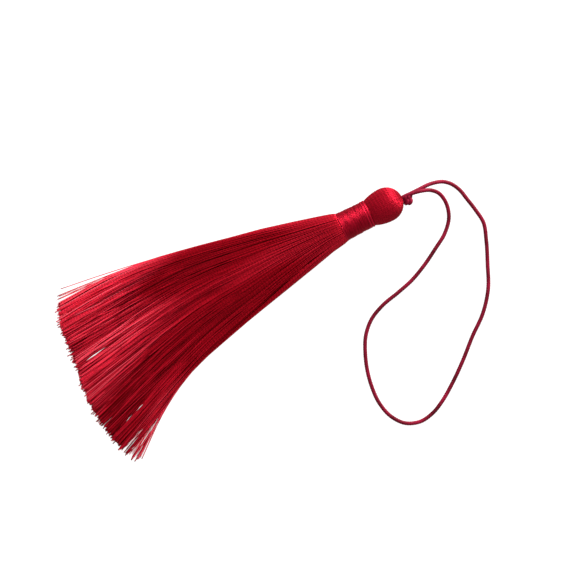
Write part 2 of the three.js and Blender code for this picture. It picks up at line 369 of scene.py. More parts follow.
def turned_piece(name, xs, radii, segments):
    """An outline spun about the tassel's axis, closed where it meets the axis."""
    bm = bmesh.new()
    ring = [bm.verts.new((x, 0, AXIS_HEIGHT + radius)) for x, radius in zip(xs, radii)]
    edges = [bm.edges.new(pair) for pair in zip(ring, ring[1:])]
    bmesh.ops.spin(
        bm, geom=ring + edges, cent=AXIS, axis=(1, 0, 0), angle=2 * math.pi,
        steps=segments, use_merge=True,
    )
    bmesh.ops.remove_doubles(bm, verts=bm.verts, dist=1e-6)
    bmesh.ops.recalc_face_normals(bm, faces=bm.faces)
    mesh = bpy.data.meshes.new(name)
    bm.to_mesh(mesh)
    bm.free()
    mesh.polygons.foreach_set("use_smooth", np.ones(len(mesh.polygons), bool))
    piece = bpy.data.objects.new(name, mesh)
    bpy.context.scene.collection.objects.link(piece)
    print(name, "faces", len(mesh.polygons))
    return piece


# %% Turn the bead
HEAD_THREAD_RADIUS = 0.00017
BEAD_INSET = 1.2 * HEAD_THREAD_RADIUS

outline_x, outline_radius = head_outline(40)
bead_radius = np.maximum(outline_radius - BEAD_INSET, 0)
bead = turned_piece("head_bead", np.r_[outline_x, outline_x[-1]], np.r_[bead_radius, 0], 64)
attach(bead, "root")

# %% Lay the head's threads over it
HEAD_THREADS = 132
HEAD_RINGS = 15
POLE_HOLE = 0.0006
HEAD_JITTER = 0.2
HEAD_SLANT = 0.025
HEAD_SINK = 0.00006
CROWDING = 1.4

rng = np.random.default_rng(11)
x, outside = head_outline(HEAD_RINGS)
jitter = rng.uniform(-HEAD_JITTER, HEAD_JITTER, HEAD_THREADS)
around = (np.arange(HEAD_THREADS) + jitter) / HEAD_THREADS * 2 * np.pi
slant = rng.normal(0, HEAD_SLANT, HEAD_THREADS)
sink = rng.uniform(0, HEAD_SINK, HEAD_THREADS)
angle = around[:, None] + slant[:, None] * np.linspace(0, 1, len(x))[None, :]
room = np.pi * np.maximum(outside, POLE_HOLE) / HEAD_THREADS
thickness = np.minimum(HEAD_THREAD_RADIUS, CROWDING * room)
reach = np.maximum(outside - thickness, 0.4 * POLE_HOLE)[None, :] - sink[:, None]
resting = np.maximum(AXIS_HEIGHT + reach * np.cos(angle), thickness)
head_lines = np.stack([np.broadcast_to(x, angle.shape), reach * np.sin(angle), resting], axis=-1)
head_hint = np.stack([np.zeros_like(angle), np.sin(angle), np.cos(angle)], axis=-1)
head_tags = rng.random((HEAD_THREADS, 1))
head = lay_tubes("head_threads", head_lines, head_hint, thickness[None, :], 5, thread=head_tags)
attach(head, "root")
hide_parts("head_ball")

# %% [markdown]
# ## The binding
#
# One thread is wound round the neck in close turns. A circle spun about the axis while it moves
# along it makes exactly that, so the spin operator does it in one go. The winding is then pushed in
# or out a little, because a real one is: it stands up at its lower end, has a step near the middle,
# and shows two proud turns beside the head. Each point keeps how much painted highlight its turn
# gets, and the finish paints the two proud turns and the raised lower end lighter with it. A plain
# drum inside stands for the bound threads, so that nothing shows through between the turns.

# %% The binding's outline, turn by turn
WINDING_RADIUS = 0.00017
TURN_PITCH = 0.00031
STEPS_PER_TURN = 56
OVERLAP = 1.06
MEAN_RADIUS = 0.005
WOBBLES = [
    # size, waves in one turn, how fast they change along the neck
    (0.00003, 3, 2100),
    (0.00002, 7, -5300),
]
BINDING_OUTLINE = np.array([
    # place from the head's side (0) to the skirt's (1), outside radius
    (0.000, 0.00496),
    (0.028, 0.00496),
    (0.034, 0.00502),
    (0.056, 0.00502),
    (0.062, 0.00492),
    (0.112, 0.00492),
    (0.118, 0.00501),
    (0.140, 0.00501),
    (0.146, 0.00492),
    (0.380, 0.00494),
    (0.410, 0.00484),
    (0.440, 0.00499),
    (0.750, 0.00507),
    (0.940, 0.00516),
    (0.970, 0.00527),
    (1.000, 0.00527),
])

TURN_HIGHLIGHTS = np.array([
    # place along the binding, and how much painted highlight the turns get there
    (0.028, 0.0),
    (0.034, 0.7),
    (0.056, 0.7),
    (0.062, 0.0),
    (0.112, 0.0),
    (0.118, 0.8),
    (0.140, 0.8),
    (0.146, 0.0),
    (0.960, 0.0),
    (0.975, 0.5),
    (1.000, 0.5),
])


def binding_place(x):
    """How far along the binding x lies, from 0 at the head's side to 1 at the skirt's."""
    return (BINDING_START - x) / (BINDING_START - BINDING_END)


def binding_radius(x):
    return float(np.interp(binding_place(x), BINDING_OUTLINE[:, 0], BINDING_OUTLINE[:, 1]))


# %% Wind it, and push each turn in or out
winding_length = BINDING_START - BINDING_END - 2 * WINDING_RADIUS
turns = winding_length / TURN_PITCH
steps = round(turns * STEPS_PER_TURN)
bm = bmesh.new()
start = Vector((BINDING_END + WINDING_RADIUS, 0, AXIS_HEIGHT + MEAN_RADIUS))
bmesh.ops.create_circle(
    bm, cap_ends=True, segments=8, radius=WINDING_RADIUS * OVERLAP,
    matrix=Matrix.Translation(start) @ Matrix.Rotation(math.pi / 2, 4, "X"),
)
bmesh.ops.spin(
    bm, geom=bm.verts[:] + bm.edges[:] + bm.faces[:], cent=AXIS, axis=(1, 0, 0),
    dvec=(winding_length / steps, 0, 0), angle=2 * math.pi * turns, steps=steps,
)
for vert in bm.verts:
    outward = Vector((0, vert.co.y, vert.co.z - AXIS_HEIGHT)).normalized()
    sweep = math.atan2(outward.y, outward.z)
    wobble = sum(size * math.sin(waves * sweep + climb * vert.co.x) for size, waves, climb in WOBBLES)
    vert.co += outward * (binding_radius(vert.co.x) - WINDING_RADIUS - MEAN_RADIUS + wobble)
bmesh.ops.recalc_face_normals(bm, faces=bm.faces)
winding_mesh = bpy.data.meshes.new("binding_turns")
bm.to_mesh(winding_mesh)
bm.free()
winding_mesh.polygons.foreach_set("use_smooth", np.ones(len(winding_mesh.polygons), bool))
place = [binding_place(vert.co.x) for vert in winding_mesh.vertices]
# How much painted highlight each turn gets, for the finish.
proud = np.interp(place, TURN_HIGHLIGHTS[:, 0], TURN_HIGHLIGHTS[:, 1])
winding_mesh.attributes.new("proud", "FLOAT", "POINT").data.foreach_set("value", proud)
winding = bpy.data.objects.new("binding_turns", winding_mesh)
bpy.context.scene.collection.objects.link(winding)
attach(winding, "root")
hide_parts("neck_binding")
print("binding turns", round(turns, 1), "faces", len(winding_mesh.polygons))

# %% Fill the neck under the turns
NECK_INSET = 0.0004
DRUM_INSET = 1.7 * WINDING_RADIUS

neck_low, neck_high = BINDING_END + NECK_INSET, BINDING_START - NECK_INSET
neck_xs = np.array((neck_low, neck_low, neck_high, neck_high))
neck_radii = np.array((0, 1, 1, 0)) * (BINDING_OUTLINE[:, 1].min() - DRUM_INSET)
neck = turned_piece("bound_neck", neck_xs, neck_radii, 64)
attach(neck, "root")

# %% [markdown]
# ## The skirt
#
# Several hundred threads leave the neck as a tight round bundle, and gravity settles them into a
# flat fan. Simulating that many threads would take far too long, and it would not lie as this one
# does. So each thread gets a place in the round bundle and a matching place in the fan, and its line
# goes smoothly from one to the other. The fan's edges, underside and top come from a short table,
# and so does the threads' length.

# %% The fan's sections and the threads' lengths
FAN = np.array([
    # run from the binding, edge on the loop's side, other edge, underside, top
    (-0.0012, -0.0046, 0.0046, 0.00135, 0.01055),
    (0.0002, -0.0052, 0.0054, 0.00065, 0.01120),
    (0.0012, -0.0055, 0.0058, 0.00045, 0.01130),
    (0.0040, -0.0058, 0.0066, 0.00045, 0.01080),
    (0.0070, -0.0064, 0.0075, 0.00035, 0.01010),
    (0.0140, -0.0080, 0.0094, 0.00010, 0.00880),
    (0.0210, -0.0095, 0.0113, 0.00000, 0.00760),
    (0.0350, -0.0124, 0.0143, 0.00000, 0.00590),
    (0.0520, -0.0162, 0.0180, 0.00000, 0.00450),
    (0.0700, -0.0214, 0.0211, 0.00000, 0.00360),
    (0.0840, -0.0287, 0.0218, 0.00000, 0.00330),
    (0.0980, -0.0390, 0.0214, 0.00000, 0.00310),
    (0.1100, -0.0480, 0.0210, 0.00000, 0.00300),
])
TIP_RUNS = np.array([
    # place across the fan, from the loop's side (-1) to the other (1), and length from the binding
    (-1.00, 0.0993),
    (-0.95, 0.1008),
    (-0.67, 0.1036),
    (-0.40, 0.1052),
    (-0.15, 0.1058),
    (0.10, 0.1048),
    (0.40, 0.1033),
    (0.77, 0.1026),
    (0.90, 0.1010),
    (1.00, 0.0995),
])
HIDDEN_RUNS = np.array((-0.0012, 0.0002, 0.0012))
RING_SHARES = np.array((0.06, 0.14, 0.25, 0.36, 0.46, 0.54, 0.61, 0.68, 0.75, 0.82, 0.88, 0.93, 0.965))
CUT_END = 0.0004


def thread_runs(tip_run):
    """Runs of each thread's rings: some at the binding, closer ones where it bends, two at its end."""
    tip_run = tip_run[:, None]
    first = np.broadcast_to(HIDDEN_RUNS, (len(tip_run), len(HIDDEN_RUNS)))
    return np.concatenate([first, tip_run * RING_SHARES, tip_run - CUT_END, tip_run], axis=1)


def fan_section(run):
    """The fan's two edges, underside and top at each run."""
    columns = (smooth(run.ravel(), FAN[:, 0], FAN[:, i]).reshape(run.shape) for i in range(1, 5))
    near, far, under, top = columns
    return near, far, np.maximum(under, 0), top


print("longest thread", TIP_RUNS[:, 1].max(), "rings", len(HIDDEN_RUNS) + len(RING_SHARES) + 2)

# %% [markdown]
# In the bundle the threads lie in rings, one round the other. Scattered at random they would leave
# gaps in some places and crowd in others, and rings pack them closely. The fan holds the same
# threads in the same order. So a thread's place across the fan is the share of the bundle that lies
# to one side of it, and its height is its share of the bundle's height there.

# %% Places in the bundle and in the fan
ROOT_RINGS = 16
RING_STEP = 3.05
RING_JITTER = 0.12
TURN_JITTER = 0.012
UNEVEN_CUT = 0.0004
LONG_THREADS = 0.03
LONGER = 0.0011
OUTERMOST = 0.995

rng = np.random.default_rng(5)
in_ring = np.round(RING_STEP * (2 * np.arange(ROOT_RINGS) + 1)).astype(int)
root_ring = np.repeat(np.arange(ROOT_RINGS), in_ring)
THREADS = len(root_ring)
round_ring = np.concatenate([(np.arange(count) + rng.random()) / count for count in in_ring])
spread = (root_ring + 0.75 + rng.normal(0, RING_JITTER, THREADS)) / ROOT_RINGS
spread = np.minimum(spread, OUTERMOST)
turned_by = 2 * np.pi * round_ring + rng.normal(0, TURN_JITTER, THREADS)
root_across = spread * np.cos(turned_by)
root_up = spread * np.sin(turned_by)
half_chord = np.sqrt(1 - root_across ** 2)
root_height = (root_up + 1) / 2
fan_across = 2 * (root_across * half_chord + np.arcsin(root_across)) / np.pi
fan_height = (root_up / half_chord + 1) / 2
uneven = rng.normal(0, UNEVEN_CUT, THREADS) + LONGER * (rng.random(THREADS) > 1 - LONG_THREADS)
tip_run = np.interp(fan_across, TIP_RUNS[:, 0], TIP_RUNS[:, 1]) + uneven
run = thread_runs(tip_run)
part_way = run / tip_run[:, None]
print("threads", THREADS, "from", tip_run.min().round(4), "to", tip_run.max().round(4))

# %% [markdown]
# ### Locks and play
#
# Real threads are not evenly spread. They gather in locks, wander a little and cross here and there.
# Each of these is a small seeded change, and the same seed gives the same tassel each time. On the
# loop's side the fan is thin: half of its threads there are moved further in, and the rest gather
# in four narrow locks. The lowest threads stay evenly spread, so that the table doesn't show
# between them by chance.

# %% Thin out the loop's side and spread the lowest threads
SPLIT_EDGE = -0.73
MOVED_SHARE = 0.5
MOVED_IN = 0.5
BED = 0.35
EDGE_BED = 0.5
BED_TO_TOP = 0.3


def spread_evenly(chosen, first, last):
    """Spreads the chosen threads evenly over a part of the fan, in the order in which they lie."""
    order = np.flatnonzero(chosen)
    order = order[np.argsort(fan_across[order])]
    fan_across[order] = np.linspace(first, last, len(order))


moved = (fan_across < SPLIT_EDGE) & (rng.random(THREADS) < MOVED_SHARE)
fan_across = np.where(moved, SPLIT_EDGE + rng.uniform(0, MOVED_IN, THREADS), fan_across)
at_split_edge = fan_across < SPLIT_EDGE
spread_evenly((fan_height < BED) & ~at_split_edge, SPLIT_EDGE, OUTERMOST)
spread_evenly((fan_height < EDGE_BED) & at_split_edge, -OUTERMOST, SPLIT_EDGE - 0.005)
on_top = np.clip((fan_height - BED) / BED_TO_TOP, 0, 1)
print("threads moved in", int(moved.sum()), "left at the split edge", int(at_split_edge.sum()))

# %% Gather the threads in locks
LOCKS = 90
EDGE_LOCKS = np.array([
    # place across the fan, and height in it
    (-0.985, 0.4),
    (-0.935, 0.4),
    (-0.845, 0.5),
    (-0.768, 0.5),
])
LOCK_PULL = 0.15
LOOSE_SHARE = 0.09
LAY_JITTER = 0.035

lock_across = np.r_[rng.uniform(SPLIT_EDGE, 1, LOCKS), EDGE_LOCKS[:, 0]]
lock_height = np.r_[rng.uniform(0, 1, LOCKS), EDGE_LOCKS[:, 1]]
is_edge_lock = np.arange(len(lock_across)) >= LOCKS
apart = 8 * np.abs(fan_across[:, None] - lock_across) + np.abs(fan_height[:, None] - lock_height)
apart[at_split_edge[:, None] != is_edge_lock] = np.inf
lock = apart.argmin(axis=1)
edge_pull = rng.uniform(0.6, 1.0, THREADS)
inner_pull = LOCK_PULL * rng.uniform(0.2, 1.4, THREADS) * on_top
pull = np.where(at_split_edge, edge_pull, inner_pull)
tip_across = fan_across + pull * (lock_across[lock] - fan_across)
loose = (rng.random(THREADS) < LOOSE_SHARE) & ~at_split_edge
lay_height = np.clip(fan_height + rng.normal(0, LAY_JITTER, THREADS), 0, 1)
print("locks in use", len(np.unique(lock)), "loose threads", int(loose.sum()))

# %% Let them wander and cross
THREAD_SLANT = 0.0034
LOCK_SLANT = 0.0014
LOOSE_PLAY = 1.7
SPLIT_PLAY = 0.3


def wander(owners, size, waves):
    """Slow sideways waves along a thread, one set for each owner."""
    phase = rng.uniform(0, 2 * np.pi, owners.max() + 1)[owners]
    scale = rng.normal(0, size, owners.max() + 1)[owners]
    return scale[:, None] * np.sin(waves * part_way * 2 * np.pi + phase[:, None])


number = np.arange(THREADS)
play = (on_top * (1 - fan_across ** 6) * np.where(at_split_edge, SPLIT_PLAY, 1))[:, None]
slant = rng.normal(0, THREAD_SLANT, (THREADS, 1)) * np.where(loose, LOOSE_PLAY, 1)[:, None]
slant += rng.normal(0, LOCK_SLANT, len(lock_across))[lock][:, None]
crossing = rng.uniform(0.3, 0.95, (THREADS, 1))
WAVES = [
    # what shares them, size, how many along a thread
    (lock, 0.0002, 0.7),
    (number, 0.0003, 0.8),
    (number, 0.00015, 1.9),
]
drift = sum(wander(*row) for row in WAVES)
drift += slant * (part_way - crossing)
drift *= play * np.clip(part_way * 1.8 - 0.6, 0, 1)
print("widest drift", np.abs(drift).max().round(4))

# %% [markdown]
# ### The threads' lines
#
# A silk thread is a little stiff, so it lies straight wherever nothing bends it. Each line follows
# the fan's sections while the bundle settles, then bends once and runs straight to its tip. The
# threads nearest the far edge follow that edge instead, and the narrow locks at the loop's side
# split apart near the tips. If every thread simply kept its place across the fan, all of them would
# bend like the fan's edge, and the real ones don't.

# %% Their places across the fan
BUNCHED = np.array([
    # place across the fan at the tips, and how much nearer the loop's side the thread lies before them
    (-1.00, 0.00),
    (-0.85, 0.15),
    (-0.45, 0.13),
    (0.00, 0.09),
    (0.45, 0.04),
    (0.85, 0.01),
    (1.00, 0.00),
])
SETTLE_RUN = 0.046
AIMED_AT = 0.060
STRAIGHT_FROM = 0.078
STRAIGHT_TO = 0.098
SPLITS = (0.078, 0.099)
FOLLOWS_EDGE = (0.60, 0.97)


def smoothstep(value, low, high):
    t = np.clip((value - low) / (high - low), 0, 1)
    return t * t * (3 - 2 * t)


def across_fan(at_run, across):
    """Where a place across the fan lies in y, at one run."""
    near, far, _, _ = fan_section(np.array([at_run]))
    return near + (far - near) * (across + 1) / 2


near, far, under, top = fan_section(run)
bunched = (fan_across - np.interp(fan_across, BUNCHED[:, 0], BUNCHED[:, 1]))[:, None]
settled = smoothstep(run, 0, SETTLE_RUN)
across = root_across[:, None] * (1 - settled) + bunched * settled
in_section = near + (far - near) * (across + 1) / 2
print("widest place of the fan", (far - near).max().round(4))

# %% One bend, then straight to the tips
SLOPE_STEP = 0.001

aim = across_fan(AIMED_AT, bunched)
arrives = across_fan(STRAIGHT_TO, np.where(at_split_edge, fan_across, tip_across)[:, None])
aim_slope = (arrives - aim) / (STRAIGHT_TO - AIMED_AT)
straight = aim + aim_slope * (run - AIMED_AT)
straight_start = aim + aim_slope * (STRAIGHT_FROM - AIMED_AT)
leaves = across_fan(SETTLE_RUN, bunched)
leave_slope = (across_fan(SETTLE_RUN + SLOPE_STEP, bunched) - leaves) / SLOPE_STEP
bend_run = STRAIGHT_FROM - SETTLE_RUN
t = np.clip((run - SETTLE_RUN) / bend_run, 0, 1)
bending = curve_between(t, bend_run, leaves, leave_slope, straight_start, aim_slope)
along_edge = smoothstep(fan_across, *FOLLOWS_EDGE)[:, None]
leaning = np.where(run < STRAIGHT_FROM, bending, straight) * (1 - along_edge) + in_section * along_edge
y = np.where(run < SETTLE_RUN, in_section, leaning)
split = (at_split_edge * (tip_across - fan_across))[:, None] * smoothstep(run, *SPLITS)
y = np.clip(y + split * (far - near) / 2, near, far) + drift
steepness = np.abs(np.gradient(y, axis=1) / np.gradient(run, axis=1))[:, 4:]
print("steepest thread", steepness.max().round(2))

# %% [markdown]
# Midway the upper threads are packed close under the fan's top, because the real hank looks smooth
# and whole there. Towards the tips they spread through the fan's height, and the loose ones come to
# lie on top of the others. The fan is a little thinner at its edges.

# %% Their heights
THREAD_RADIUS = 0.00019
PACKING = 1.8
SURFACES = (0.050, 0.084)
LOOSE_HEIGHT = 1.03
EDGE_THINNING = 0.25

surfaced = smoothstep(run, *SURFACES)
packed = (1 - (1 - lay_height) ** PACKING)[:, None]
lying = packed + (np.where(loose, LOOSE_HEIGHT, lay_height)[:, None] - packed) * surfaced
lift = root_height[:, None] * (1 - settled) + lying * settled
thin = 1 - EDGE_THINNING * across ** 2 * settled
z = under + THREAD_RADIUS + lift * thin * (top - under - 2 * THREAD_RADIUS)
lines = np.stack([BINDING_END - run, y, z], axis=-1)
print("heights of the lines", z.min().round(5), "to", z.max().round(5))

# %% [markdown]
# In two places the table shows through between the threads. A hole can't be cut in threads, so they
# are pushed a little to both sides of a short line, softly, and the line lies along the threads.

# %% Part them where the table shows through
PARTINGS = [
    # run from the binding, place in y, how y changes with the run, half length, half width
    (0.0960, -0.0003, -0.14, 0.0038, 0.00030),
    (0.0940, -0.0250, -0.33, 0.0034, 0.00048),
]
PUSHED_ASIDE = 0.0016

for parting_run, parting_y, slope, half_length, half_width in PARTINGS:
    beyond = (run - parting_run) / half_length
    beside = lines[..., 1] - parting_y - slope * (run - parting_run)
    push = half_width * np.exp(-beyond ** 2 - (beside / PUSHED_ASIDE) ** 2)
    lines[..., 1] += np.sign(beside) * push
    print("parting at", parting_run, "widest push", push.max().round(5))

# %% [markdown]
# ### Painted light and shade on the skirt
#
# The skirt isn't equally bright. Near the tips the silk is thin over a white table, and light comes
# through it from all sides. Midway it lies thick and keeps its light to itself. Following light
# through hundreds of threads would take very long, so each point keeps one number of painted light
# and shade instead, and the silk's finish reads it: above 0 it paints the silk lighter, and below 0
# it paints it darker as painted shade. Midway, parts of the fan get painted shade, and the neck gets
# a little painted light.

# %% Painted light and shade of each place, and the skirt's threads
PAINTED_LIGHT_ACROSS = np.array([
    # place across the fan, and painted light (to 1) or painted shade (below 0): midway, and at the tips
    (-1.00, -0.20, 0.70),
    (-0.84, -0.30, 0.25),
    (-0.72, -0.50, 0.00),
    (-0.60, -0.60, -0.20),
    (-0.36, -0.45, -0.20),
    (-0.18, 0.02, 0.35),
    (0.00, 0.10, 0.80),
    (0.15, 0.08, 0.95),
    (0.40, -0.20, 0.70),
    (0.62, -0.65, 0.70),
    (0.84, -0.25, 1.10),
    (1.00, 0.00, 1.25),
])
THINS = (0.055, 0.092)
THINS_EARLIER = 0.009
FAR_PART = (0.5, 0.84)
LEAVES_NECK = (0.008, 0.035)
NECK_PAINTED_LIGHT = 0.27
NECK_PAINTED_LIGHT_ENDS = (0.015, 0.050)
PALE_FROM = 0.93

near, far, _, _ = fan_section(run)
across = np.clip((lines[..., 1] - near) / (far - near) * 2 - 1, -1, 1)
midway, at_tips = (np.interp(across, PAINTED_LIGHT_ACROSS[:, 0], PAINTED_LIGHT_ACROSS[:, i]) for i in (1, 2))
thinned = smoothstep(run + THINS_EARLIER * smoothstep(across, *FAR_PART), *THINS)
painted_light_amount = thinned * at_tips + (1 - thinned) * smoothstep(run, *LEAVES_NECK) * midway
# Painted light near the neck, fading out along the threads.
painted_light_amount += NECK_PAINTED_LIGHT * (1 - smoothstep(run, *NECK_PAINTED_LIGHT_ENDS))
tags = rng.random((THREADS, 1))
# Threads at the fan's edges get high tags: a lighter tone, and more of the painted pale glint where painted
# light falls.
tags = np.where(np.abs(fan_across)[:, None] > PALE_FROM, 0.6 + 0.4 * tags, tags)
upper = fan_height > 0.5
skirt_under, skirt_top = (
    lay_tubes(name, lines[part], UP, THREAD_RADIUS, 4, thread=tags[part], open=painted_light_amount[part])
    for name, part in (("skirt_under", ~upper), ("skirt_top", upper))
)

# %% [markdown]
# A few threads stray from the edges, and finer filaments come loose from them near the tips. Each
# one follows its edge for a while, hidden among the others, and then leaves it in a slight curve.

# %% Stray threads
FAR_EDGE = 2
NEAR_EDGE = 1
STRAYS = [
    # column of the fan's edge, run where it leaves that edge, run and y of its end, radius
    (FAR_EDGE, 0.064, 0.0968, 0.0255, 0.00014),
    (FAR_EDGE, 0.070, 0.0990, 0.0237, 0.00014),
    (FAR_EDGE, 0.080, 0.0991, 0.0226, 0.00014),
    (NEAR_EDGE, 0.062, 0.0985, -0.0404, 0.00014),
]
FILAMENTS = [
    # column of the fan's edge, how many, run and y of the outermost end and of the innermost
    (FAR_EDGE, 12, 0.0985, 0.0240, 0.1005, 0.0200),
    (NEAR_EDGE, 70, 0.0990, -0.0402, 0.1030, -0.0320),
]
FILAMENT_RADIUS = 0.00006
FILAMENT_LEAVES = (0.066, 0.080)
UNEVEN_FILAMENTS = 0.0005
HIDDEN_STRETCH = 0.02
STRAY_HEIGHT = 0.0022
STRAY_DROP = 0.0012
# Painted light on the strays, and the tag that gives the filaments the painted pale glint.
STRAY_PAINTED_LIGHT = 0.9
GLINT_TAG = 0.97

rows = list(STRAYS)
for edge_column, count, outer_run, outer_y, inner_run, inner_y in FILAMENTS:
    for share in rng.random(count):
        end = outer_run + share * (inner_run - outer_run) + rng.normal(0, UNEVEN_FILAMENTS)
        end_y = outer_y + share * (inner_y - outer_y)
        rows.append((edge_column, rng.uniform(*FILAMENT_LEAVES), end, end_y, FILAMENT_RADIUS))
t = np.linspace(0, 1, 18)
stray_lines = []
for edge_column, leave, end, end_y, _ in rows:
    stray_run = leave - HIDDEN_STRETCH + (end - leave + HIDDEN_STRETCH) * t
    edge = smooth(stray_run, FAN[:, 0], FAN[:, edge_column])
    away = np.clip((stray_run - leave) / (end - leave), 0, 1) ** 1.6
    y = edge + (end_y - edge[-1]) * away
    stray_lines.append(np.stack([BINDING_END - stray_run, y, STRAY_HEIGHT - STRAY_DROP * t], axis=-1))
stray_radii = np.array([[row[-1]] for row in rows])
stray_tags = np.where(stray_radii > FILAMENT_RADIUS, rng.random(stray_radii.shape), GLINT_TAG)
strays = lay_tubes(
    "stray_threads", stray_lines, UP, stray_radii, 4, thread=stray_tags, open=STRAY_PAINTED_LIGHT,
)
for piece in (skirt_under, skirt_top, strays):
    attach(piece, "root")
for piece in (skirt_under, skirt_top):
    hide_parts("skirt")

# %% [markdown]
# ## Finishes
#
# A material is a graph of nodes. It could be drawn by hand in the shader editor, but written out node
# by node in a script it hides its own sense. So a small class lets it be written as sums and
# products, and each of its operators adds the Math node that it stands for.

# %% Node graphs as plain arithmetic
class Wire:
    """One value in a node graph, for use in arithmetic."""

    def __init__(self, graph, socket):
        self.graph = graph
        self.socket = socket

    def math(self, operation, *others):
        sockets = dict(enumerate([self, *others]))
        return self.graph.node("ShaderNodeMath", {"operation": operation}, sockets)

    def __add__(self, other):
        return self.math("ADD", other)

    def __radd__(self, other):
        return self.math("ADD", other)

    def __mul__(self, other):
        return self.math("MULTIPLY", other)

    def __rmul__(self, other):
        return self.math("MULTIPLY", other)

    def __sub__(self, other):
        return self.math("SUBTRACT", other)

    def __rsub__(self, other):
        return (self * -1).math("ADD", other)

    def sine(self):
        return self.math("SINE")


# %% A material that grows by one call a node
class Finish:
    """A material whose nodes are added one call at a time."""

    def __init__(self, name):
        self.material = bpy.data.materials.new(name)
        self.material.use_nodes = True
        self.tree = self.material.node_tree
        self.tree.nodes.clear()

    def node(self, kind, settings, sockets, output=0):
        """Adds a node: its settings first, then values or links for its sockets."""
        node = self.tree.nodes.new(kind)
        for key, value in settings.items():
            if key == "stops":
                ramp = node.color_ramp.elements
                while len(ramp) < len(value):
                    ramp.new(1)
                for stop, (position, colour) in zip(ramp, value):
                    stop.position = position
                    stop.color = (*colour, 1)
            else:
                setattr(node, key, value)
        for key, value in sockets.items():
            if isinstance(value, Wire):
                self.tree.links.new(value.socket, node.inputs[key])
            else:
                node.inputs[key].default_value = value
        return Wire(self, node.outputs[output])

    def read(self, attribute, output="Fac"):
        """A fact that the mesh carries for each point."""
        return self.node("ShaderNodeAttribute", {"attribute_name": attribute}, {}, output)

    def parts(self, vector):
        """The three numbers of a vector."""
        split = self.node("ShaderNodeSeparateXYZ", {}, {0: vector}).socket.node
        return [Wire(self, output) for output in split.outputs]

    def mix(self, factor, first, second):
        """A colour between two colours."""
        sockets = {0: factor, 6: first, 7: second}
        return self.node("ShaderNodeMix", {"data_type": "RGBA"}, sockets, 2)

    def finish(self, shader):
        surface = self.tree.nodes.new("ShaderNodeOutputMaterial")
        self.tree.links.new(shader.socket, surface.inputs["Surface"])
        print("finish", self.material.name, "nodes", len(self.tree.nodes))
        return self.material


# %% [markdown]
# ### Silk thread
#
# Ice silk is a smooth, hard-twisted thread with a strong sheen in its own colour, so the finish is
# mostly metallic with a red base. Its colour differs a little from thread to thread and along a
# thread, more towards the tips, where the threads lie apart. Fine diagonal lines show the twist: in
# the bump, and in the base colour as painted glints on the crests and painted shade in the grooves.
# All of this comes from the facts that the tubes carry.
#
# On the skirt the finish also reads the painted light and shade: where the number is above 0 the silk
# is painted a lit red and a few of its threads a pale pink as painted glints, and where it is below 0
# the silk is painted deeper as painted shade. Some of the cut ends are painted darker as painted shade.

# %% Twist, and slow changes along a thread
SLOW_ALONG = 110
SLOW_APART = 97
LYING_APART = (0.045, 0.09)


def twist_lines(look, turned, along, pitch):
    """Waves from -1 to 1 that wind round the thread, once for each pitch."""
    phase = along * (2 * math.pi / pitch)
    return phase.sine() * turned[0] + (phase + math.pi / 2).sine() * turned[1]


def slow_changes(look, along, thread):
    """Noise along each thread, in another place of the noise for each."""
    where = look.node("ShaderNodeCombineXYZ", {}, {0: along * SLOW_ALONG, 1: thread * SLOW_APART})
    sockets = {"Vector": where, "Scale": 1.0, "Detail": 2.0}
    return look.node("ShaderNodeTexNoise", {"noise_dimensions": "2D"}, sockets)


def fading(look, value, ends, values):
    """A smooth change from one value to another between two ends."""
    sockets = {"Value": value, "From Min": ends[0], "From Max": ends[1]}
    sockets |= {"To Min": values[0], "To Max": values[1]}
    return look.node("ShaderNodeMapRange", {"interpolation_type": "SMOOTHSTEP"}, sockets)


# %% Painted light and glints, and painted shade at the cut ends
PAINTED_LIGHT_SILK = (1.0, 0.035, 0.08, 1)
PAINTED_GLINT_SILK = (1.0, 0.16, 0.22, 1)
PAINTED_END_SHADE_SILK = (0.10, 0.002, 0.010, 1)
END_SHADE_REACH = (0.0, 0.0011)


def painted_light_and_end_shade(look, colour, shade, light, spread, thread, painted_end_shade):
    # Painted light: a lit red where the number is above 0, and painted pale glints on a few threads.
    lit = light.math("MAXIMUM", 0.0) * (0.1 + shade * 0.9).math("MINIMUM", 1.0)
    colour = look.mix(lit, colour, PAINTED_LIGHT_SILK)
    colour = look.mix(lit * spread * thread.math("POWER", 6.0), colour, PAINTED_GLINT_SILK)
    # Painted shade: some cut ends are darkened near their tips.
    near_tip = fading(look, look.read("to_tip"), END_SHADE_REACH, (painted_end_shade, 0.0))
    darker = near_tip * (thread * 2.3).math("FRACT").math("GREATER_THAN", 0.7)
    return look.mix(darker, colour, PAINTED_END_SHADE_SILK)


# %% Silk
SILK_METAL = 0.75
SILK_EDGE = (1.0, 0.18, 0.3, 1)
HEAD_METAL = 0.7
HEAD_EDGE = (1.0, 0.25, 0.45, 1)
TONE_PLACES = (0.05, 0.5, 0.95)
MID_SHADE = 0.44
BY_THREAD = 0.75
BY_PLACE = 1.1
TWIST_GLINT_AND_SHADE = 0.1
BRIGHT_THREADS = 0.4
BY_PAINTED_LIGHT = 0.3


